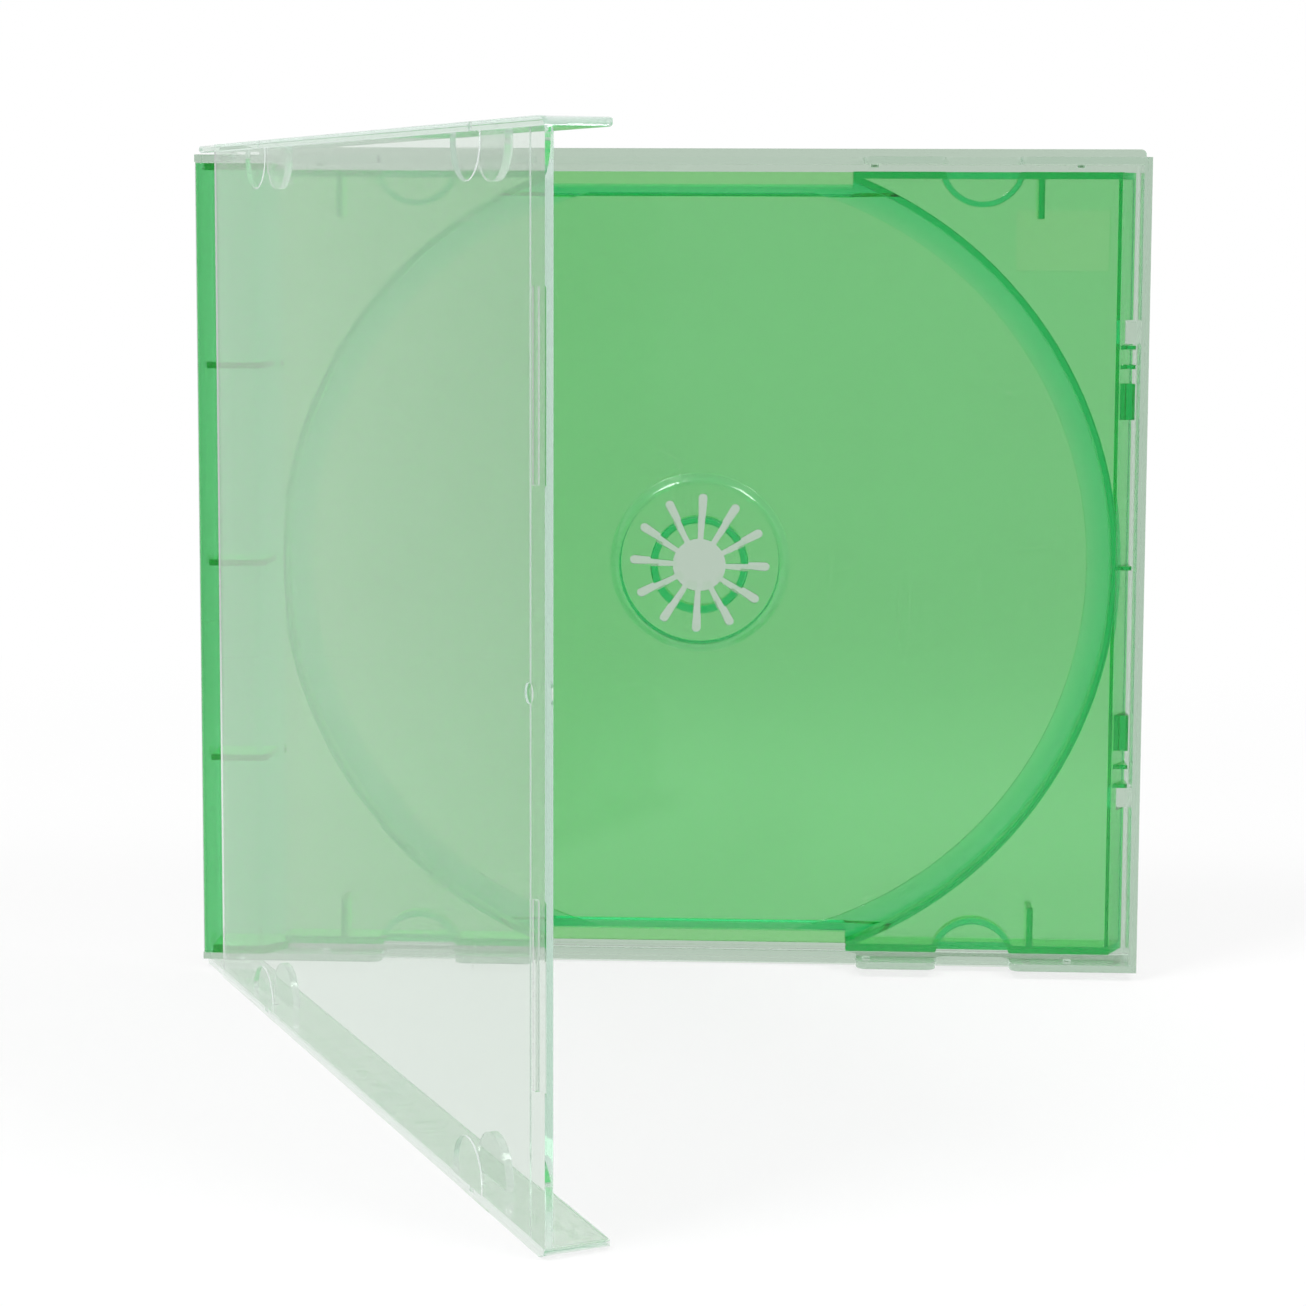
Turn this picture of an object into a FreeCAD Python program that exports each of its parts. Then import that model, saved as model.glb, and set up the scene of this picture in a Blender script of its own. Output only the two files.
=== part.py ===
"""Compact disc jewel case: clear lid, clear base and a translucent disc tray, standing open like a book.

Each piece is first drawn closed and lying on its back, in millimetres: x runs across from the hinge spine,
y along the spine and z up through the thickness. The lid is then swung open about its hinge pins, and all
three pieces are stood up on the long edge: x stays, y becomes +Z and z becomes -Y. The origin is on the
standing edge of the base, half way along it.
"""

import FreeCAD, Part
import math
import os

# The disc that everything is sized round
DISC_RADIUS = 60.0
DISC_THICKNESS = 1.2
DISC_HOLE_RADIUS = 7.5

# How far the lid stands open, in degrees from closed
OPEN_ANGLE = 63.0

# Whole case through its thickness
CASE_THICKNESS = 10.4
BASE_FLOOR = 1.2
LID_PANEL = 1.2
LID_TO_BASE = 0.2

# Walls side by side along the two long edges, from outside in
LID_WALL = 1.1
WALL_GAP = 0.2
BASE_WALL = 1.1
DISC_SIDE_GAP = 0.1

# Base
SPINE_WALL = 1.2
LEDGE_THICKNESS = 1.6
LEDGE_CORNER_RADIUS = 0.5
LOW_WALL_TOP = 3.0
WALL_STEP_RADIUS = 1.5
BASE_CORNER_RADIUS = 0.8
HIGH_WALL_FROM_HUB = 24.2
PIP_RADIUS = 0.6
PIP_REACH = 0.5
PIP_ABOVE_RIM = 0.2
PIP_FROM_HUB = (-56.0, 25.7, 56.1)
CATCH_FROM_MIDDLE = 35.3
CATCH_LENGTH = 3.0
CATCH_RISE = 0.6
CATCH_REACH = 1.6

# Lid
LEDGE_GAP = 0.4
STRIP_TO_LID = 2.8
PANEL_END_RADIUS = 0.5
WALL_END_RADIUS = 1.7
WALL_EDGE_RADIUS = 0.35
LID_CORNER_RADIUS = 2.0
STOP_BAND = 5.1
STOP_BAND_DEPTH = 0.2
STOP_RIB_LENGTH = 21.5
STOP_RIB_FROM_MIDDLE = 33.6
STOP_RIB_WIDTH = 0.9
STOP_RIB_HEIGHT = 0.5
STOP_RIB_FROM_EDGE = 3.4
GATE_RADIUS = 1.2
GATE_DEPTH = 0.3
GATE_FROM_EDGE = 4.7

# Booklet tabs of the lid, and the room that the base and the tray leave for them
BOOKLET_GAP = 2.9
TAB_THICKNESS = 1.0
TAB_HALF_WIDTH = 4.6
TAB_REACH = 5.6
TAB_FROM_HUB = 41.8
TAB_MARK_DEPTH = 0.7
TAB_WINDOW = 0.8
WINDOW_ABOVE_TAB = 0.9
TAB_CLEARANCE = 0.5
TAB_SIDE_CLEARANCE = 1.0

# Hinge
ARM_TIP_FROM_END = 2.0
PIN_RADIUS = 1.5
PIN_CLEARANCE = 0.05
PIN_TIP_GAP = 0.1
ARM_SWEEP_GAP = 0.4

# Tray sheet and its levels, counted up from the base's floor
TRAY_FOOT_GAP = 0.05
SHEET = 1.0
UNDER_WELL = 1.2
SHELF_STEP = 0.8
SEAT_STEP = 1.2
DISC_SUNK = 1.0
STRIP_BELOW_FACE = 0.2

# Tray outline
TRAY_END_GAP = 0.4
TRAY_SIDE_GAP = 1.1
STRIP_SIDE_GAP = 0.2
STRIP_OVERHANG = 1.2
STRIP_TO_SPINE = 0.2
STRIP_SHEET = 1.6
STRIP_TOP_WIDTH = 8.8
STRIP_SLOPE = 3.2
STRIP_EDGE_RADIUS = 0.4
STRIP_TO_WELL = 0.2
WELL_TO_FREE_SLOPE = 0.5
FREE_SLOPE = 2.5

# Disc well
DISC_RIM_GAP = 1.8
SHELF_WIDTH = 3.4
SHELF_FLAT = 0.8
SHELF_EDGE = 0.25
PLATFORM_FROM_HUB = 22.6
LIP_WIDTH = 1.8
LIP_SLOPE = 0.7
LIP_DROP = 1.35
LIP_UNDER_SLOPE = 1.2

# Tray details
POCKET_WALL = 0.8
POCKET_RADIUS = 5.7
POCKET_DEPTH = 4.4
GUSSET_WIDTH = 0.9
GUSSET_LENGTH = 5.9
GUSSET_FROM_HUB = (-53.4, 50.5)
STRIP_RIB_PITCH = 29.8
STRIP_RIB_WIDTH = 0.9
PANEL_MARK = (13.8, 9.0)
PANEL_MARK_FROM_HUB = (53.7, 48.9)
PANEL_MARK_DEPTH = 0.15
FLANGE_BLOCK_FROM_MIDDLE = 25.0
FLANGE_BLOCK_LENGTH = 5.4
FLANGE_BLOCK_DROP = 0.6
FLANGE_TICKS_FROM_MIDDLE = (0.0, 30.2, 33.1)
FLANGE_TICK_WIDTH = 0.6
CATCH_CLEARANCE = 0.3

# Hub
HUB_CLEARANCE = 0.1
HUB_WALL = 1.1
HUB_PROUD = 1.2
HUB_EDGE = 0.3
HUB_HOLE_RADIUS = 4.0
SEAT_RADIUS = 12.4
SEAT_SLOPE = 1.3
SEAT_EDGE_RADIUS = 1.5
SLOT_COUNT = 12
SLOT_WIDTH = 0.75
SLOT_END_WIDTH = 1.35
SLOT_END_RADIUS = 10.6
SLOT_TURN = -2.7

# Places worked out from the sizes above
WELL_RADIUS = DISC_RADIUS + DISC_RIM_GAP
TRAY_X0 = SPINE_WALL + TRAY_END_GAP
TRAY_FOOT_Z = BASE_FLOOR + TRAY_FOOT_GAP
STRIP_TOP_X = TRAY_X0 + STRIP_TOP_WIDTH
STRIP_FOOT_X = STRIP_TOP_X + STRIP_SLOPE
HUB_X = STRIP_FOOT_X + STRIP_TO_WELL + WELL_RADIUS
FREE_SLOPE_X = HUB_X + WELL_RADIUS + WELL_TO_FREE_SLOPE
TRAY_X1 = FREE_SLOPE_X + FREE_SLOPE
CASE_LENGTH = TRAY_X1 + TRAY_END_GAP + SPINE_WALL
CATCH_X = CASE_LENGTH - SPINE_WALL - CATCH_REACH
WALL_OUT_Y = LID_WALL + WALL_GAP
WALL_IN_Y = WALL_OUT_Y + BASE_WALL
CASE_HEIGHT = 2 * (DISC_RADIUS + DISC_SIDE_GAP + WALL_IN_Y)
MIDDLE_Y = CASE_HEIGHT / 2
TRAY_Y0 = WALL_IN_Y + TRAY_SIDE_GAP
STRIP_Y0 = WALL_IN_Y + STRIP_SIDE_GAP
LID_INSIDE_Z = CASE_THICKNESS - LID_PANEL
BASE_TOP_Z = LID_INSIDE_Z - LID_TO_BASE
LID_X0 = STRIP_TOP_X + STRIP_TO_LID
LID_WALL_FOOT_Z = LEDGE_THICKNESS + LEDGE_GAP
HINGE_Z = CASE_THICKNESS / 2
ARM_RADIUS = HINGE_Z - LID_WALL_FOOT_Z
HINGE_X = ARM_TIP_FROM_END + ARM_RADIUS
LEDGE_X0 = HINGE_X + ARM_RADIUS + ARM_SWEEP_GAP
TAB_TOP_Z = LID_INSIDE_Z - BOOKLET_GAP
TAB_FOOT_Z = TAB_TOP_Z - TAB_THICKNESS
POCKET_TOP_Z = TAB_FOOT_Z - TAB_CLEARANCE
WELL_Z = BASE_FLOOR + UNDER_WELL + SHEET
SHELF_Z = WELL_Z + SHELF_STEP
SEAT_Z = WELL_Z + SEAT_STEP
PLATFORM_Z = SEAT_Z + DISC_THICKNESS + DISC_SUNK
STRIP_Z = CASE_THICKNESS - STRIP_BELOW_FACE
HUB_Z = SEAT_Z + DISC_THICKNESS + HUB_PROUD
HUB_RADIUS = DISC_HOLE_RADIUS - HUB_CLEARANCE
THROUGH = 2 * CASE_THICKNESS

# How far a cut runs past the face that it opens, and the smallest length that counts
BEYOND = 1.0
TINY = 1e-6


def block(x0, x1, y0, y1, z0, z1):
    """A box between two corners."""
    return Part.makeBox(x1 - x0, y1 - y0, z1 - z0, FreeCAD.Vector(x0, y0, z0))


def disc(x, y, radius, z0, z1):
    """An upright cylinder."""
    return Part.makeCylinder(radius, z1 - z0, FreeCAD.Vector(x, y, z0))


def union(shapes):
    """One solid from several that touch or overlap."""
    return shapes[0].multiFuse(shapes[1:]).removeSplitter()


def mirrored(shape):
    """The same shape at the other long edge of the case."""
    return shape.mirror(FreeCAD.Vector(0, MIDDLE_Y, 0), FreeCAD.Vector(0, 1, 0))


def both_edges(shapes):
    """Shapes at one long edge, with their mirror images at the other."""
    return shapes + [mirrored(shape) for shape in shapes]


def rounded_face(corners, to_vector):
    """A flat face whose outline turns each corner (a, b, radius) on an arc; a radius of 0 stays sharp."""
    count = len(corners)
    edges = []
    starts = []
    ends = []
    for i, (a, b, radius) in enumerate(corners):
        here = FreeCAD.Vector(a, b, 0)
        before = FreeCAD.Vector(corners[i - 1][0], corners[i - 1][1], 0) - here
        after = FreeCAD.Vector(corners[(i + 1) % count][0], corners[(i + 1) % count][1], 0) - here
        before.normalize()
        after.normalize()
        half = before.getAngle(after) / 2
        run = radius / math.tan(half)
        starts.append(here + before * run)
        ends.append(here + after * run)
        if radius > 0:
            inward = before + after
            inward.normalize()
            middle = here + inward * (radius / math.sin(half) - radius)
            arc = Part.Arc(to_vector(starts[i]), to_vector(middle), to_vector(ends[i]))
            edges.append((i, arc.toShape()))
    outline = []
    arcs = dict(edges)
    for i in range(count):
        if i in arcs:
            outline.append(arcs[i])
        a = to_vector(ends[i])
        b = to_vector(starts[(i + 1) % count])
        if a.distanceToPoint(b) > TINY:
            outline.append(Part.LineSegment(a, b).toShape())
    return Part.Face(Part.Wire(outline))


def plate(corners, z0, z1):
    """An outline in x and y, given thickness from z0 to z1."""
    face = rounded_face(corners, lambda p: FreeCAD.Vector(p.x, p.y, z0))
    return face.extrude(FreeCAD.Vector(0, 0, z1 - z0))


def wall(corners, y0, y1):
    """An outline in x and z, given thickness from y0 to y1."""
    face = rounded_face(corners, lambda p: FreeCAD.Vector(p.x, y0, p.y))
    return face.extrude(FreeCAD.Vector(0, y1 - y0, 0))


def rail(corners, x0, x1):
    """An outline in y and z, carried along x from x0 to x1."""
    face = rounded_face(corners, lambda p: FreeCAD.Vector(x0, p.x, p.y))
    return face.extrude(FreeCAD.Vector(x1 - x0, 0, 0))


def hinge_cylinder(radius, length):
    """A cylinder on the hinge's axis, from the outside of one long edge inwards."""
    return Part.makeCylinder(radius, length, FreeCAD.Vector(HINGE_X, 0, HINGE_Z), FreeCAD.Vector(0, 1, 0))


def free_corner_cut(r):
    """What lies outside a round corner of radius r at one end of the free edge."""
    corner = block(CASE_LENGTH - r, CASE_LENGTH + BEYOND, -BEYOND, r, -BEYOND, THROUGH)
    return corner.cut(disc(CASE_LENGTH - r, r, r, -BEYOND, THROUGH))


def base_side_wall():
    """Side wall inside the lid's wall: high at both ends, notched for the booklet tabs, low in the middle."""
    notch = TAB_HALF_WIDTH + TAB_SIDE_CLEARANCE
    r = WALL_STEP_RADIUS
    dips = [
        (-TAB_FROM_HUB, notch, POCKET_TOP_Z),
        (0, HIGH_WALL_FROM_HUB, LOW_WALL_TOP),
        (TAB_FROM_HUB, notch, POCKET_TOP_Z),
    ]
    corners = [(0, 0, 0), (0, BASE_TOP_Z, 0)]
    for from_hub, half, low_z in dips:
        x0 = HUB_X + from_hub - half
        x1 = HUB_X + from_hub + half
        corners += [(x0, BASE_TOP_Z, r), (x0, low_z, r), (x1, low_z, r), (x1, BASE_TOP_Z, r)]
    corners += [(CASE_LENGTH, BASE_TOP_Z, 0), (CASE_LENGTH, 0, 0)]
    return wall(corners, WALL_OUT_Y, WALL_IN_Y).cut(hinge_cylinder(PIN_RADIUS + PIN_CLEARANCE, WALL_IN_Y))


def tray_pips():
    """Small round pips inside the side wall, just above the rim of the tray."""
    z = PLATFORM_Z + PIP_RADIUS + PIP_ABOVE_RIM
    y = WALL_IN_Y - BASE_WALL / 2
    along = FreeCAD.Vector(0, 1, 0)
    reach = BASE_WALL / 2 + PIP_REACH
    places = [FreeCAD.Vector(HUB_X + x, y, z) for x in PIP_FROM_HUB]
    return [Part.makeCylinder(PIP_RADIUS, reach, place, along) for place in places]


def base_shape():
    """Clear back half: floor, two spines, two side walls and the ledges that the lid's walls close onto."""
    far_y = CASE_HEIGHT - WALL_OUT_Y
    floor = block(0, CASE_LENGTH, WALL_OUT_Y, far_y, 0, BASE_FLOOR)
    corners = [
        (LEDGE_X0, 0, LEDGE_CORNER_RADIUS),
        (CASE_LENGTH, 0, BASE_CORNER_RADIUS),
        (CASE_LENGTH, CASE_HEIGHT, BASE_CORNER_RADIUS),
        (LEDGE_X0, CASE_HEIGHT, LEDGE_CORNER_RADIUS),
    ]
    ledge = plate(corners, 0, LEDGE_THICKNESS)
    hollow = block(0, CASE_LENGTH - SPINE_WALL, WALL_IN_Y, CASE_HEIGHT - WALL_IN_Y, BASE_FLOOR, THROUGH)
    spines = [
        block(0, SPINE_WALL, WALL_OUT_Y, far_y, 0, STRIP_Z - STRIP_SHEET - STRIP_TO_SPINE),
        block(CASE_LENGTH - SPINE_WALL, CASE_LENGTH, WALL_OUT_Y, far_y, 0, BASE_TOP_Z),
    ]
    sides = both_edges([base_side_wall()])
    pips = both_edges(tray_pips())
    catch = block(
        CATCH_X,
        CASE_LENGTH - SPINE_WALL / 2,
        MIDDLE_Y - CATCH_FROM_MIDDLE - CATCH_LENGTH / 2,
        MIDDLE_Y - CATCH_FROM_MIDDLE + CATCH_LENGTH / 2,
        BASE_FLOOR / 2,
        WELL_Z + CATCH_RISE,
    )
    return union([floor, ledge.cut(hollow)] + spines + sides + pips + both_edges([catch]))


def beyond_free_slope(inset):
    """What lies past the slope from the platforms down to the tray's free edge, moved in by inset."""
    x0 = FREE_SLOPE_X - inset
    x1 = TRAY_X1 - inset
    far_x = TRAY_X1 + BEYOND
    top = PLATFORM_Z + BEYOND
    corners = [(x0, PLATFORM_Z, 0), (x1, TRAY_FOOT_Z + SHEET, 0), (x1, -BEYOND, 0)]
    corners += [(far_x, -BEYOND, 0), (far_x, top, 0), (x0, top, 0)]
    return wall(corners, 0, CASE_HEIGHT)


def inside_of_shelf():
    """The middle of the well, inside the ring shelf that slopes down towards it."""
    inner = WELL_RADIUS - SHELF_WIDTH
    slope_foot = FreeCAD.Vector(HUB_X, MIDDLE_Y, WELL_Z + SHELF_EDGE)
    slope = Part.makeCone(inner, WELL_RADIUS - SHELF_FLAT, SHELF_Z - WELL_Z - SHELF_EDGE, slope_foot)
    return union([disc(HUB_X, MIDDLE_Y, inner, 0, SHELF_Z), slope])


def tray_outside():
    """Everything under the tray's upper surface, as one block with steps."""
    far = CASE_HEIGHT
    foot = TRAY_FOOT_Z
    centre = (HUB_X, MIDDLE_Y)
    body = block(TRAY_X0, TRAY_X1, TRAY_Y0, far - TRAY_Y0, foot, WELL_Z)
    shelf = block(STRIP_FOOT_X, TRAY_X1, TRAY_Y0, far - TRAY_Y0, foot, SHELF_Z).cut(inside_of_shelf())
    platform = block(STRIP_FOOT_X, TRAY_X1, TRAY_Y0, far - TRAY_Y0, foot, PLATFORM_Z)
    gap = block(HUB_X - PLATFORM_FROM_HUB, HUB_X + PLATFORM_FROM_HUB, 0, far, 0, THROUGH)
    platform = platform.cut(disc(*centre, WELL_RADIUS, 0, THROUGH)).cut(gap)
    strip = wall(
        [
            (TRAY_X0, foot, 0),
            (TRAY_X0, STRIP_Z - STRIP_SHEET, 0),
            (TRAY_X0 - STRIP_OVERHANG, STRIP_Z - STRIP_SHEET, 0),
            (TRAY_X0 - STRIP_OVERHANG, STRIP_Z, STRIP_EDGE_RADIUS),
            (STRIP_TOP_X, STRIP_Z, STRIP_EDGE_RADIUS),
            (STRIP_FOOT_X, PLATFORM_Z, 0),
            (STRIP_FOOT_X, foot, 0),
        ],
        STRIP_Y0,
        far - STRIP_Y0,
    )
    seat_foot = FreeCAD.Vector(*centre, WELL_Z)
    seat = Part.makeCone(SEAT_RADIUS + SEAT_SLOPE, SEAT_RADIUS, SEAT_Z - WELL_Z, seat_foot)
    seat = seat.makeFillet(SEAT_EDGE_RADIUS, [e for e in seat.Edges if e.BoundBox.ZMin > SEAT_Z - TINY])
    hub = disc(*centre, HUB_RADIUS, WELL_Z, HUB_Z)
    hub = hub.makeChamfer(HUB_EDGE, [e for e in hub.Edges if e.BoundBox.ZMin > HUB_Z - TINY])
    return union([body, shelf, platform, strip, seat, hub]).cut(beyond_free_slope(0))


def side_lip_cut():
    """What is taken off the well's floor at an open long edge, so that it slopes down to a low lip."""
    y1 = TRAY_Y0 + LIP_WIDTH
    y2 = y1 + LIP_SLOPE
    low = WELL_Z - LIP_DROP
    corners = [(TRAY_Y0 - BEYOND, low, 0), (y1, low, 0), (y2, WELL_Z, 0)]
    corners += [(y2, SHELF_Z + BEYOND, 0), (TRAY_Y0 - BEYOND, SHELF_Z + BEYOND, 0)]
    return rail(corners, HUB_X - PLATFORM_FROM_HUB, HUB_X + PLATFORM_FROM_HUB)


def pocket_centre_y():
    """Centre of a half-moon pocket, from its radius and how far it reaches in from the tray's edge."""
    return TRAY_Y0 + POCKET_DEPTH - POCKET_RADIUS


def pocket_cuts():
    """Half-moon pockets in the platforms, where the lid's tabs go when the case is closed."""
    y = pocket_centre_y()
    places = (HUB_X - TAB_FROM_HUB, HUB_X + TAB_FROM_HUB)
    return both_edges([disc(x, y, POCKET_RADIUS, POCKET_TOP_Z, THROUGH) for x in places])


def tray_inside():
    """The hollow under the tray's sheet, less the ribs and gussets that stand in it."""
    far = CASE_HEIGHT
    foot = 0
    centre = (HUB_X, MIDDLE_Y)
    inner_y = TRAY_Y0 + SHEET
    lip_y = TRAY_Y0 + LIP_WIDTH + LIP_SLOPE
    well_top = WELL_Z - SHEET
    top_y = lip_y + LIP_UNDER_SLOPE
    well = rail(
        [(lip_y, foot, 0), (top_y, well_top, 0), (far - top_y, well_top, 0), (far - lip_y, foot, 0)],
        STRIP_FOOT_X,
        TRAY_X1,
    )
    reach = PLATFORM_FROM_HUB + SHEET
    gap = block(HUB_X - reach, HUB_X + reach, 0, far, 0, THROUGH)
    platform = block(STRIP_FOOT_X - SHEET, TRAY_X1, inner_y, far - inner_y, foot, PLATFORM_Z - SHEET)
    platform = platform.cut(disc(*centre, WELL_RADIUS + SHEET, 0, THROUGH)).cut(gap)
    strip = wall(
        [
            (TRAY_X0 - BEYOND, foot, 0),
            (TRAY_X0 - BEYOND, STRIP_Z - STRIP_SHEET, 0),
            (STRIP_TOP_X - SHEET, STRIP_Z - STRIP_SHEET, 0),
            (STRIP_FOOT_X - SHEET, PLATFORM_Z - SHEET, 0),
            (STRIP_FOOT_X - SHEET, foot, 0),
        ],
        STRIP_Y0 + SHEET,
        far - STRIP_Y0 - SHEET,
    )
    strip = strip.cut(disc(*centre, WELL_RADIUS + SHEET, 0, THROUGH))
    hollow = union([well, platform, strip]).cut(beyond_free_slope(SHEET))
    return hollow.cut(union(both_edges(under_platform_ribs()) + strip_ribs()))


def under_platform_ribs():
    """Gussets inside the long edges, and the walls and floors of the half-moon pockets."""
    far_y = TRAY_Y0 + SHEET + GUSSET_LENGTH
    half = GUSSET_WIDTH / 2
    ribs = [block(HUB_X + x - half, HUB_X + x + half, TRAY_Y0, far_y, 0, THROUGH) for x in GUSSET_FROM_HUB]
    for x in (HUB_X - TAB_FROM_HUB, HUB_X + TAB_FROM_HUB):
        ribs.append(disc(x, pocket_centre_y(), POCKET_RADIUS + POCKET_WALL, POCKET_TOP_Z - SHEET, THROUGH))
    return ribs


def strip_ribs():
    """Three ribs across the hinge strip."""
    half = STRIP_RIB_WIDTH / 2
    places = (MIDDLE_Y - STRIP_RIB_PITCH, MIDDLE_Y, MIDDLE_Y + STRIP_RIB_PITCH)
    return [block(TRAY_X0, STRIP_TOP_X, y - half, y + half, 0, THROUGH) for y in places]


def hub_hollow():
    """The space under the hub and its seat, with the middle hole."""
    top = SEAT_RADIUS - SHEET / 2
    foot = FreeCAD.Vector(HUB_X, MIDDLE_Y, WELL_Z - SHEET)
    under_seat = Part.makeCone(top + SEAT_SLOPE, top, SEAT_Z - WELL_Z, foot)
    under_hub = disc(HUB_X, MIDDLE_Y, HUB_RADIUS - HUB_WALL, 0, HUB_Z - SHEET)
    return [under_seat, under_hub, disc(HUB_X, MIDDLE_Y, HUB_HOLE_RADIUS, 0, THROUGH)]


def hub_slots():
    """Radial slots that part the hub into spring fingers and widen outwards to a round end in the seat."""
    middle = FreeCAD.Vector(HUB_X, MIDDLE_Y, 0)
    half = SLOT_WIDTH / 2
    half_end = SLOT_END_WIDTH / 2
    start_x = HUB_X + HUB_HOLE_RADIUS - BEYOND
    end_x = HUB_X + SLOT_END_RADIUS - half_end
    corners = [
        (start_x, MIDDLE_Y - half, 0),
        (end_x, MIDDLE_Y - half_end, 0),
        (end_x, MIDDLE_Y + half_end, 0),
        (start_x, MIDDLE_Y + half, 0),
    ]
    slot = union([plate(corners, 0, THROUGH), disc(end_x, MIDDLE_Y, half_end, 0, THROUGH)])
    slots = []
    for i in range(SLOT_COUNT):
        turned = slot.copy()
        turned.rotate(middle, FreeCAD.Vector(0, 0, 1), SLOT_TURN + 360 / SLOT_COUNT * i)
        slots.append(turned)
    return slots


def flange_details():
    """Blocks and ticks that stand on the slope at the free edge."""
    shapes = []
    half = FLANGE_BLOCK_LENGTH / 2
    top = PLATFORM_Z - FLANGE_BLOCK_DROP
    for side in (-1, 1):
        y = MIDDLE_Y + side * FLANGE_BLOCK_FROM_MIDDLE
        shapes.append(block(FREE_SLOPE_X, TRAY_X1, y - half, y + half, TRAY_FOOT_Z, top))
    half = FLANGE_TICK_WIDTH / 2
    for side in (-1, 1):
        for offset in FLANGE_TICKS_FROM_MIDDLE:
            y = MIDDLE_Y + side * offset
            shapes.append(block(FREE_SLOPE_X, TRAY_X1, y - half, y + half, TRAY_FOOT_Z, top))
    return shapes


def catch_notches():
    """Notches in the free edge round the base's catches."""
    half = CATCH_LENGTH / 2 + CATCH_CLEARANCE
    y = MIDDLE_Y - CATCH_FROM_MIDDLE
    return both_edges([block(CATCH_X - CATCH_CLEARANCE, TRAY_X1 + BEYOND, y - half, y + half, 0, THROUGH)])


def panel_mark():
    """A plain rectangle, hardly sunk, in the platform at the free end."""
    length, width = PANEL_MARK
    x = HUB_X + PANEL_MARK_FROM_HUB[0] - length / 2
    y = MIDDLE_Y + PANEL_MARK_FROM_HUB[1] - width / 2
    return block(x, x + length, y, y + width, PLATFORM_Z - PANEL_MARK_DEPTH, THROUGH)


def tray_shape():
    """Translucent disc tray: one thin sheet with the well, hub, platforms and hinge strip."""
    outside = tray_outside()
    outside = outside.cut(union(both_edges([side_lip_cut()])))
    outside = outside.multiFuse(flange_details())
    cuts = [tray_inside(), panel_mark()] + pocket_cuts() + hub_hollow() + hub_slots() + catch_notches()
    for shape in cuts:
        outside = outside.cut(shape)
    return outside.removeSplitter()


def half_moon(x, z0, z1):
    """A half-moon that stands in from the lid's wall: an arc of the stated reach on the stated half width."""
    tip = FreeCAD.Vector(x, LID_WALL + TAB_REACH, z0)
    left = FreeCAD.Vector(x - TAB_HALF_WIDTH, LID_WALL, z0)
    right = FreeCAD.Vector(x + TAB_HALF_WIDTH, LID_WALL, z0)
    outline = [Part.Arc(left, tip, right).toShape(), Part.LineSegment(right, left).toShape()]
    return Part.Face(Part.Wire(outline)).extrude(FreeCAD.Vector(0, 0, z1 - z0))


def lid_side():
    """Side wall of the lid, from the hinge arm's round tip to the free end, with its hinge pin."""
    tip = ARM_TIP_FROM_END
    corners = [
        (tip, LID_WALL_FOOT_Z, ARM_RADIUS),
        (CASE_LENGTH, LID_WALL_FOOT_Z, WALL_END_RADIUS),
        (CASE_LENGTH, CASE_THICKNESS, PANEL_END_RADIUS),
        (tip, CASE_THICKNESS, ARM_RADIUS),
    ]
    side = wall(corners, 0, LID_WALL)
    flat_end_z = CASE_THICKNESS - max(ARM_RADIUS, PANEL_END_RADIUS)
    rims = [e for e in side.Edges if e.BoundBox.YLength < TINY and e.BoundBox.ZMax < flat_end_z]
    side = side.makeFillet(WALL_EDGE_RADIUS, rims)
    return [side, hinge_cylinder(PIN_RADIUS, WALL_IN_Y - PIN_TIP_GAP)]


def stop_ribs():
    """Two low ribs near the free edge, which stop the booklet."""
    x1 = CASE_LENGTH - STOP_RIB_FROM_EDGE
    z0 = LID_INSIDE_Z + STOP_BAND_DEPTH - STOP_RIB_HEIGHT
    y0 = MIDDLE_Y - STOP_RIB_FROM_MIDDLE - STOP_RIB_LENGTH / 2
    return block(x1 - STOP_RIB_WIDTH, x1, y0, y0 + STOP_RIB_LENGTH, z0, LID_INSIDE_Z + LID_PANEL / 2)


def lid_shape():
    """Clear front half: panel, two side walls with hinge arms and pins, four booklet tabs."""
    r = LID_CORNER_RADIUS
    panel = plate(
        [(LID_X0, 0, 0), (CASE_LENGTH, 0, r), (CASE_LENGTH, CASE_HEIGHT, r), (LID_X0, CASE_HEIGHT, 0)],
        LID_INSIDE_Z,
        CASE_THICKNESS,
    )
    places = (HUB_X - TAB_FROM_HUB, HUB_X + TAB_FROM_HUB)
    tabs = [half_moon(x, TAB_FOOT_Z, TAB_TOP_Z) for x in places]
    lid = union([panel] + both_edges(lid_side() + tabs + [stop_ribs()]))
    marks = [half_moon(x, TAB_TOP_Z, LID_INSIDE_Z + TAB_MARK_DEPTH) for x in places]
    half = TAB_WINDOW / 2
    window_z = TAB_TOP_Z + WINDOW_ABOVE_TAB
    through_wall = (-BEYOND, LID_WALL + BEYOND)
    windows = [block(x - half, x + half, *through_wall, window_z, window_z + TAB_WINDOW) for x in places]
    band_x = (CASE_LENGTH - STOP_BAND, CASE_LENGTH + BEYOND)
    band = block(*band_x, LID_WALL, CASE_HEIGHT - LID_WALL, 0, LID_INSIDE_Z + STOP_BAND_DEPTH)
    band = band.cut(union(both_edges([stop_ribs()])))
    gate = disc(CASE_LENGTH - GATE_FROM_EDGE, MIDDLE_Y, GATE_RADIUS, CASE_THICKNESS - GATE_DEPTH, THROUGH)
    for shape in both_edges(marks + windows + [free_corner_cut(r)]) + [band, gate]:
        lid = lid.cut(shape)
    return lid.removeSplitter()


def swung_open(shape):
    """The lid turned open about its hinge pins."""
    shape.rotate(FreeCAD.Vector(HINGE_X, 0, HINGE_Z), FreeCAD.Vector(0, 1, 0), -OPEN_ANGLE)
    return shape


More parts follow.
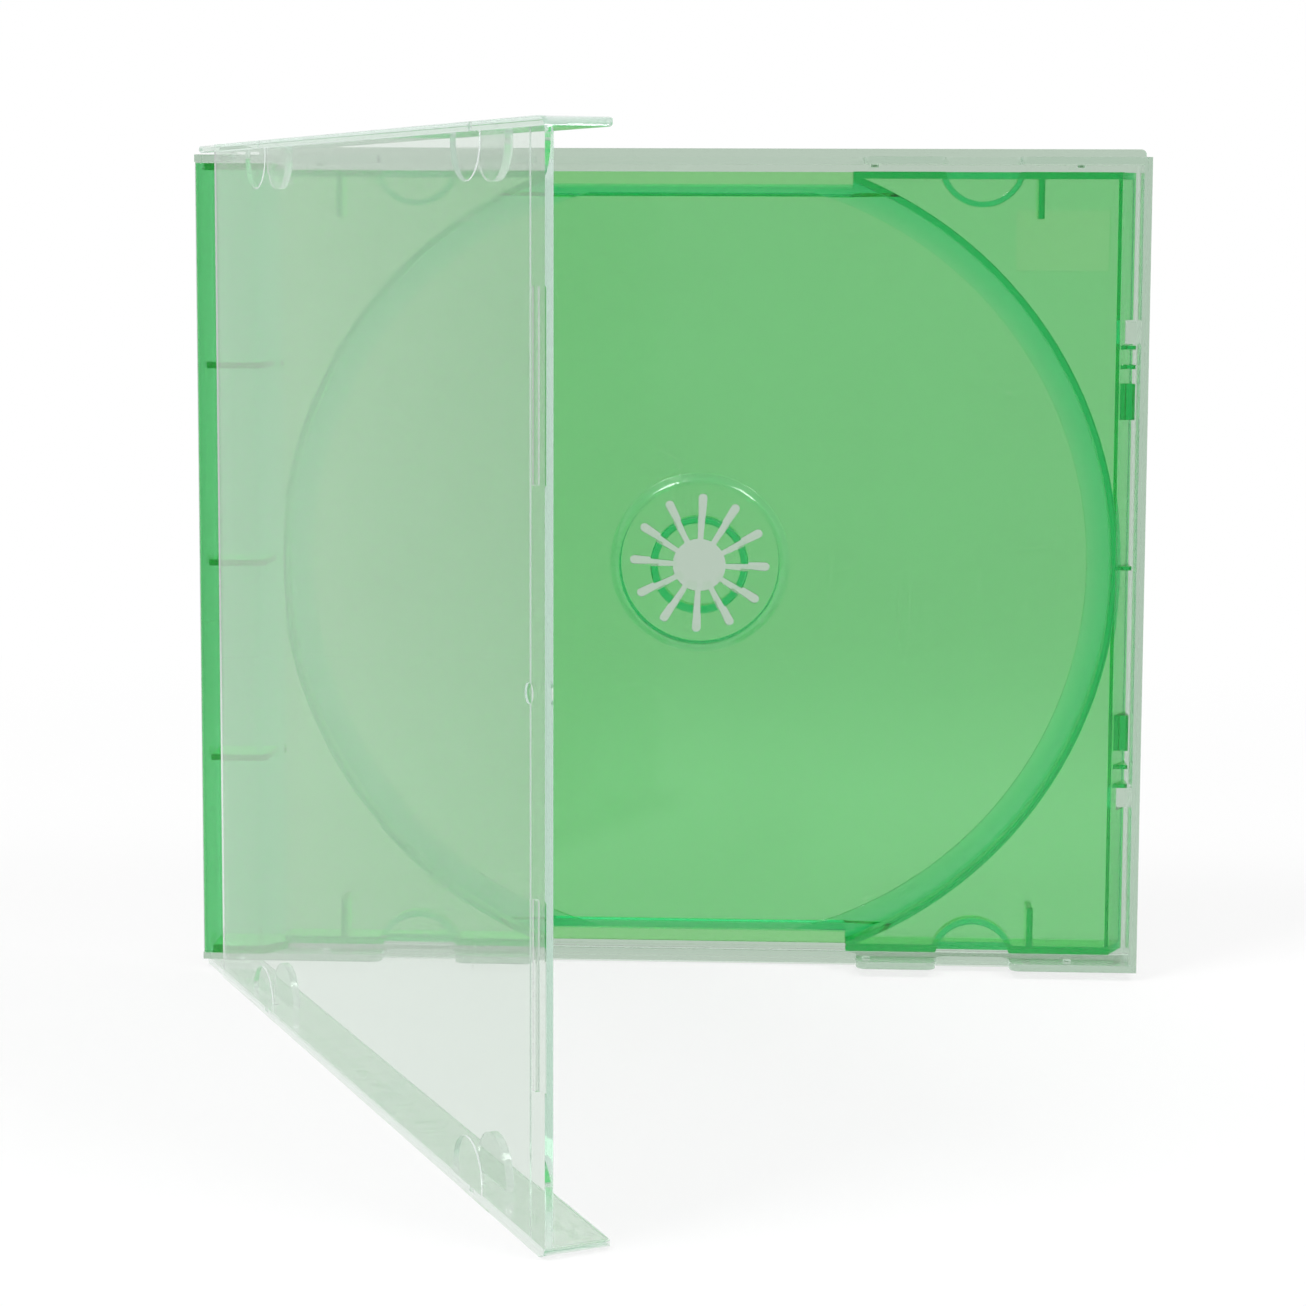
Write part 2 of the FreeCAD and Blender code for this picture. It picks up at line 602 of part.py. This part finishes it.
def stood_up(shape):
    """A piece turned from lying on its back to standing on its long edge, with the origin on that edge."""
    shape.rotate(FreeCAD.Vector(0, 0, 0), FreeCAD.Vector(1, 0, 0), 90)
    shape.translate(FreeCAD.Vector(-CASE_LENGTH / 2, LEDGE_THICKNESS / 2, 0))
    return shape


pieces = {
    "base": stood_up(base_shape()),
    "disc_tray": stood_up(tray_shape()),
    "lid": stood_up(swung_open(lid_shape())),
}

os.makedirs("parts", exist_ok=True)
for name, shape in pieces.items():
    print(name, len(shape.Solids), "solid,", round(shape.Volume / 1000, 2), "cm3, valid:", shape.isValid())
    shape.Solids[0].exportStep("parts/" + name + ".step")
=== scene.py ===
"""Looks of the open disc case: clear lid and base, translucent green tray, on a white studio floor."""

import math

import bmesh
import bpy
from mathutils import Matrix, Vector


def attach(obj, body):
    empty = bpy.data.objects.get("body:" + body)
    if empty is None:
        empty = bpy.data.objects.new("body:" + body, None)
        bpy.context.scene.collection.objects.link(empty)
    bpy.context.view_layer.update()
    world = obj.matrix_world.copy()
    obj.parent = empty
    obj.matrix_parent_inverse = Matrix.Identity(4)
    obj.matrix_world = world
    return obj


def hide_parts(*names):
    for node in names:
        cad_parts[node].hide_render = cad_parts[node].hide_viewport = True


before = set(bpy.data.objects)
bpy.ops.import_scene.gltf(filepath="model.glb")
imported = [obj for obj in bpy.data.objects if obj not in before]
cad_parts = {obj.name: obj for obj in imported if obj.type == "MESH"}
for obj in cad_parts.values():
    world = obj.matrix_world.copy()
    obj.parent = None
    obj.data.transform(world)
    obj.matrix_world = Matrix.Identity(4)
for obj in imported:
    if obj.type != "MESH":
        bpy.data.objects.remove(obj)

MM = 0.001
WHITE = (1, 1, 1, 1)
BLACK = (0, 0, 0, 1)
scene = bpy.context.scene
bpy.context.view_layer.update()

# Camera, solved from the corners of the case in the photograph
CAMERA_PLACE = (17.05 * MM, -427.9 * MM, 113.3 * MM)
CAMERA_YAW = math.radians(2.64)
CAMERA_PITCH = math.radians(-5.55)
CAMERA_ROLL = math.radians(0.22)
CAMERA_LENS = 77.72
CAMERA_SENSOR = 36.0
CAMERA_SHIFT_Y = -0.117
CAMERA_NEAR = 10 * MM

# Moulded edges. Overlap clamping cuts EDGE_ROUND down over a whole mesh: to about 0.02 mm on the base and
# the tray, and to less than 0.001 mm on the lid, whose edges stay sharp
MERGE_WITHIN = 0.001 * MM
FLAT_WITHIN = math.radians(0.3)
CREASE = math.radians(35)
EDGE_ROUND = 0.2 * MM
EDGE_SEGMENTS = 2
LARGE_FACE_WEIGHT = 100

# Tints fitted to the photo's colours, not measured on the plastic: the share of light that a wall's two
# faces let through together, and the share that each millimetre inside lets through. The green tint is the
# tray's dye. The clear tints are partly the plastic's own faint green and partly painted shade and painted
# green light: they stand for dimmer surroundings and the green tray seen through the clear walls
BASE_TINT_AND_SHADE = (0.485, 0.595, 0.495)
LID_TINT_AND_SHADE = (0.72, 0.79, 0.73)
CLEAR_PER_MM = (0.985, 0.993, 0.988)
GREEN_TINT = (0.99, 0.99, 0.535)
GREEN_PER_MM = (0.38, 0.925, 0.77)
PLASTIC_IOR = 1.57

# Painted glow on faces that a ray meets after at least so many others, counting those it passed through
DEEP = 6
CLEAR_PAINTED_GLOW = (0.14, 0.13, 0.14)
GREEN_PAINTED_GLOW = (0.0, 0.12, 0.045)

# Roughness of each moulding where it is polished, and in its duller patches
BASE_ROUGHNESS = (0.01, 0.05)
LID_ROUGHNESS = (0.0, 0.03)
TRAY_ROUGHNESS = (0.09, 0.15)

# Finish of the mouldings: shallow waves from the mould, duller patches and hair scratches
WAVE_SIZE = 9 * MM
WAVE_DEPTH = 0.003 * MM
PATCH_SIZE = 22 * MM
SCRATCH_PITCH = 3.5 * MM
SCRATCH_LENGTH = 60 * MM
SCRATCH_DULL = 0.12

# Values of the noise: where a patch begins and is full, its middle, and how near to it a scratch ends
PATCH_RISE = (0.42, 0.68)
NOISE_MIDDLE = 0.5
SCRATCH_HALF_WIDTH = 0.005

# Floor: least share of plain white near the case, so that its shadow shows, and all white far away
FLOOR_SIDE = 4.0
FLOOR_COLOUR = (0.95, 0.95, 0.95, 1)
FLOOR_ROUGHNESS = 0.9
FLOOR_MIDDLE_Y = -0.06
FLOOR_NEAR = 0.16
FLOOR_FAR = 0.4
FLOOR_WHITE_SEEN = 0.8
FLOOR_WHITE_IN_GLASS = 0.9

# Greyer surroundings in front of the case, as its faces show them: along the floor, and by direction
FRONT_LEVEL = 0.55
FLOOR_FRONT = -0.3
FLOOR_BACK = -0.14
SCREEN_FRONT = -0.6
SCREEN_BACK = 0.1

# Lamps and plain light
LAMPS = (
    ("left_lamp", (-0.35, -0.35, 0.75), 3.4),
    ("right_lamp", (0.45, -0.35, 0.70), 2.4),
)
LAMP_AIM = (0, 0, 0.06)
LAMP_SIZE = 0.26
AMBIENT = 0.55

# Render: enough bounces for the light to run on inside the walls
BOUNCES = 12
DIFFUSE_BOUNCES = 2
NOISE_THRESHOLD = 0.07
LEAST_SAMPLES = 16


def absorption(per_mm):
    """Density (per metre) and colour of an absorbing volume that lets per_mm through each millimetre.

    The volume takes density x (1 - colour) of each metre, so the strongest channel gets a colour of 0.
    """
    taken = [-math.log(share) / MM for share in per_mm]
    density = max(taken)
    return density, [1 - value / density for value in taken] + [1]


def feed(tree, node, inputs):
    """Give a node's inputs, by name or number, a plain value or a link from another node's output."""
    for key, value in inputs.items():
        if isinstance(value, bpy.types.NodeSocket):
            tree.links.new(value, node.inputs[key])
        else:
            node.inputs[key].default_value = value


def add(tree, kind, inputs=None, **settings):
    """A new shader node of a tree, with its settings made first and its inputs fed after them."""
    node = tree.nodes.new("ShaderNode" + kind)
    for name, value in settings.items():
        setattr(node, name, value)
    feed(tree, node, inputs or {})
    return node


def combined(tree, operation, *values):
    """Result of a Math node on one to three values."""
    return add(tree, "Math", dict(enumerate(values)), operation=operation).outputs[0]


def ranged(tree, value, low, high, least=0, interpolation="SMOOTHSTEP"):
    """Least at low and below it, 1 at high and above it, and a smooth or straight rise between them."""
    inputs = {"Value": value, "From Min": low, "From Max": high, "To Min": least}
    return add(tree, "MapRange", inputs, interpolation_type=interpolation).outputs["Result"]


def new_material(name):
    """A material with the default Principled shader, and its node tree."""
    material = bpy.data.materials.new(name)
    material.use_nodes = True
    return material, material.node_tree


def moulded_finish():
    """Node group: roughness and height of a polished moulding, in Object coordinates.

    The roughness rises from Polish to Dull in soft patches, and along hair scratches: the thin lines where
    one of two stretched noises crosses its middle value. The height is a slow wave.
    """
    group = bpy.data.node_groups.new("moulded_finish", "ShaderNodeTree")
    for name in ("Polish", "Dull", "Wave Depth"):
        group.interface.new_socket(name, in_out="INPUT", socket_type="NodeSocketFloat")
    for name in ("Roughness", "Height"):
        group.interface.new_socket(name, in_out="OUTPUT", socket_type="NodeSocketFloat")
    given = group.nodes.new("NodeGroupInput").outputs
    made = group.nodes.new("NodeGroupOutput")
    where = add(group, "TexCoord").outputs["Object"]

    def noise(*sizes):
        placed = add(group, "Mapping", {"Vector": where, "Scale": [1 / size for size in sizes]})
        inputs = {"Vector": placed.outputs["Vector"], "Scale": 1, "Detail": 0}
        return add(group, "TexNoise", inputs).outputs["Fac"]

    wave = noise(WAVE_SIZE, WAVE_SIZE, WAVE_SIZE)
    patch = ranged(group, noise(PATCH_SIZE, PATCH_SIZE, PATCH_SIZE), *PATCH_RISE)
    near = []
    for stretched in (
        noise(SCRATCH_PITCH, SCRATCH_PITCH, SCRATCH_LENGTH),
        noise(SCRATCH_LENGTH, SCRATCH_LENGTH, SCRATCH_PITCH),
    ):
        near.append(combined(group, "ABSOLUTE", combined(group, "SUBTRACT", stretched, NOISE_MIDDLE)))
    hair = ranged(group, combined(group, "MINIMUM", *near), 0, SCRATCH_HALF_WIDTH)
    scratch = combined(group, "MULTIPLY", combined(group, "SUBTRACT", 1, hair), patch)
    rise = combined(group, "SUBTRACT", given["Dull"], given["Polish"])
    soft = combined(group, "MULTIPLY_ADD", patch, rise, given["Polish"])
    roughness = combined(group, "MULTIPLY_ADD", scratch, SCRATCH_DULL, soft)
    height = combined(group, "MULTIPLY", wave, given["Wave Depth"])
    feed(group, made, {"Roughness": roughness, "Height": height})
    return group


def plastic(name, finish, tint_and_shade, per_mm, glow, roughness):
    """Polished see-through moulding: tinted at its faces, partly with painted shade, and absorbing along the
    way inside.

    A pale painted glow, emitted by the plastic, stands for light that runs on inside a wall from face to face
    and comes out at its edges. It is added where a ray has met at least DEEP faces before, and those it
    passed straight through count too.
    """
    material, tree = new_material(name)
    polish, dull = roughness
    skin = add(tree, "Group", {"Polish": polish, "Dull": dull, "Wave Depth": WAVE_DEPTH}, node_tree=finish)
    relief = add(tree, "Bump", {"Height": skin.outputs["Height"], "Distance": 1})
    bounces = add(tree, "LightPath").outputs["Ray Depth"]
    # Painted glow: the plastic emits the glow colour where a ray has met at least DEEP faces, for light
    # guided in the walls
    deep = combined(tree, "GREATER_THAN", bounces, DEEP - 0.5)
    painted_glow_colour = add(tree, "Mix", {"Factor": deep, "A": BLACK, "B": (*glow, 1)}, data_type="RGBA")
    # Base colour: the tint, which in the clear mouldings is partly painted shade and painted green light
    feed(tree, tree.nodes["Principled BSDF"], {
        "Base Color": (*tint_and_shade, 1),
        "Transmission Weight": 1,
        "Metallic": 0,
        "IOR": PLASTIC_IOR,
        "Roughness": skin.outputs["Roughness"],
        "Normal": relief.outputs["Normal"],
        "Emission Color": painted_glow_colour.outputs["Result"],
        "Emission Strength": 1,
    })
    density, colour = absorption(per_mm)
    volume = add(tree, "VolumeAbsorption", {"Density": density, "Color": colour})
    feed(tree, tree.nodes["Material Output"], {"Volume": volume.outputs["Volume"]})
    return material


def moulded(node, name, material):
    """A copy of a CAD node with its triangles merged, a narrow bevel on its edges and its curves smooth."""
    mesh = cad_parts[node].data.copy()
    mesh.name = name
    mesh.materials.clear()
    mesh.materials.append(material)
    work = bmesh.new()
    work.from_mesh(mesh)
    bmesh.ops.remove_doubles(work, verts=work.verts, dist=MERGE_WITHIN)
    bmesh.ops.dissolve_limit(work, verts=work.verts, edges=work.edges, angle_limit=FLAT_WITHIN)
    work.to_mesh(mesh)
    work.free()
    mesh.shade_smooth()
    mesh.set_sharp_from_angle(angle=CREASE)
    piece = bpy.data.objects.new(name, mesh)
    scene.collection.objects.link(piece)
    rounding = piece.modifiers.new("edge_round", "BEVEL")
    rounding.width = EDGE_ROUND
    rounding.segments = EDGE_SEGMENTS
    rounding.limit_method = "ANGLE"
    rounding.angle_limit = CREASE
    flats = piece.modifiers.new("flat_faces", "WEIGHTED_NORMAL")
    flats.keep_sharp = False
    flats.weight = LARGE_FACE_WEIGHT
    return piece


def floor_paper():
    """Pale paper that is white to the camera and through the case, but for the case's shadow.

    The share of plain white grows away from the case. Glossy rays, which include sharp refractions as well
    as reflections, find the paper greyer in front.
    """
    material, tree = new_material("floor_paper")
    paper = tree.nodes["Principled BSDF"]
    feed(tree, paper, {"Base Color": FLOOR_COLOUR, "Roughness": FLOOR_ROUGHNESS, "Specular IOR Level": 0})
    where = add(tree, "TexCoord").outputs["Object"]
    rays = add(tree, "LightPath").outputs
    depth = add(tree, "SeparateXYZ", {0: where}).outputs["Y"]
    level = ranged(tree, depth, FLOOR_FRONT, FLOOR_BACK, FRONT_LEVEL, "LINEAR")
    shown = add(tree, "Mix", {"Factor": rays["Is Glossy Ray"], "A": 1, "B": level}, data_type="FLOAT")
    white = add(tree, "Emission", {"Color": WHITE, "Strength": shown.outputs["Result"]})
    centred = add(tree, "Mapping", {"Vector": where, "Location": (0, -FLOOR_MIDDLE_Y, 0)})
    away = add(tree, "VectorMath", {0: centred.outputs["Vector"]}, operation="LENGTH").outputs["Value"]
    share = 0
    for ray, least in (
        ("Is Camera Ray", FLOOR_WHITE_SEEN),
        ("Is Transmission Ray", FLOOR_WHITE_IN_GLASS),
        ("Is Glossy Ray", FLOOR_WHITE_IN_GLASS),
    ):
        own = combined(tree, "MULTIPLY", rays[ray], ranged(tree, away, FLOOR_NEAR, FLOOR_FAR, least))
        share = combined(tree, "MAXIMUM", share, own)
    mix = add(tree, "MixShader", {"Fac": share, 1: paper.outputs[0], 2: white.outputs[0]})
    feed(tree, tree.nodes["Material Output"], {"Surface": mix.outputs[0]})
    return material


def stage_floor(material):
    """The square that the case stands on."""
    side = FLOOR_SIDE / 2
    corners = [(-side, -side, 0), (side, -side, 0), (side, side, 0), (-side, side, 0)]
    mesh = bpy.data.meshes.new("floor")
    mesh.from_pydata(corners, [], [(0, 1, 2, 3)])
    mesh.materials.append(material)
    floor = bpy.data.objects.new("floor", mesh)
    scene.collection.objects.link(floor)


def studio_world():
    """White to the camera, white with a greyer front in and through the case, and an even light elsewhere."""
    world = bpy.data.worlds.new("studio")
    scene.world = world
    world.use_nodes = True
    tree = world.node_tree
    lit = tree.nodes["Background"]
    feed(tree, lit, {"Color": WHITE, "Strength": AMBIENT})
    where = add(tree, "TexCoord").outputs["Generated"]
    depth = add(tree, "SeparateXYZ", {0: where}).outputs["Y"]
    level = ranged(tree, depth, SCREEN_FRONT, SCREEN_BACK, FRONT_LEVEL)
    seen = add(tree, "Background", {"Color": WHITE, "Strength": level})
    plain = add(tree, "Background", {"Color": WHITE, "Strength": 1})
    rays = add(tree, "LightPath").outputs
    through = combined(tree, "MAXIMUM", rays["Is Glossy Ray"], rays["Is Transmission Ray"])
    mix = add(tree, "MixShader", {"Fac": through, 1: lit.outputs[0], 2: seen.outputs[0]})
    mix = add(tree, "MixShader", {"Fac": rays["Is Camera Ray"], 1: mix.outputs[0], 2: plain.outputs[0]})
    feed(tree, tree.nodes["World Output"], {"Surface": mix.outputs[0]})


def softbox(name, place, power):
    """A square lamp that lights the case and shows in its edges, but isn't seen through the plastic."""
    light = bpy.data.lights.new(name, "AREA")
    light.size = LAMP_SIZE
    light.energy = power
    lamp = bpy.data.objects.new(name, light)
    scene.collection.objects.link(lamp)
    lamp.location = place
    lamp.rotation_euler = (Vector(LAMP_AIM) - Vector(place)).to_track_quat("-Z", "Y").to_euler()
    lamp.visible_transmission = False


def camera():
    """The camera of the photograph, turned about its view, then tipped, then turned about the vertical."""
    data = bpy.data.cameras.new("camera")
    data.lens = CAMERA_LENS
    data.sensor_width = CAMERA_SENSOR
    data.shift_y = CAMERA_SHIFT_Y
    data.clip_start = CAMERA_NEAR
    place = bpy.data.objects.new("camera", data)
    scene.collection.objects.link(place)
    turn = Matrix.Rotation(CAMERA_YAW, 4, "Z") @ Matrix.Rotation(math.radians(90) + CAMERA_PITCH, 4, "X")
    turn = turn @ Matrix.Rotation(CAMERA_ROLL, 4, "Z")
    place.matrix_world = Matrix.Translation(CAMERA_PLACE) @ turn
    scene.camera = place


finish = moulded_finish()
base_plastic = plastic("base_plastic", finish, BASE_TINT_AND_SHADE, CLEAR_PER_MM, CLEAR_PAINTED_GLOW, BASE_ROUGHNESS)
lid_plastic = plastic("lid_plastic", finish, LID_TINT_AND_SHADE, CLEAR_PER_MM, CLEAR_PAINTED_GLOW, LID_ROUGHNESS)
tray_plastic = plastic("tray_plastic", finish, GREEN_TINT, GREEN_PER_MM, GREEN_PAINTED_GLOW, TRAY_ROUGHNESS)

for node, name, material, slot in (
    ("base", "base_moulding", base_plastic, "clear_plastic"),
    ("disc_tray", "tray_moulding", tray_plastic, "green_plastic"),
    ("lid", "lid_moulding", lid_plastic, "clear_plastic"),
):
    piece = moulded(node, name, material)
    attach(piece, "lid" if node == "lid" else "base")
    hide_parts(node)

stage_floor(floor_paper())
studio_world()
for name, place, power in LAMPS:
    softbox(name, place, power)
camera()
scene.cycles.max_bounces = BOUNCES
scene.cycles.transmission_bounces = BOUNCES
scene.cycles.glossy_bounces = BOUNCES
scene.cycles.diffuse_bounces = DIFFUSE_BOUNCES
scene.cycles.adaptive_threshold = NOISE_THRESHOLD
scene.cycles.adaptive_min_samples = LEAST_SAMPLES

scene.view_settings.view_transform = "Standard"
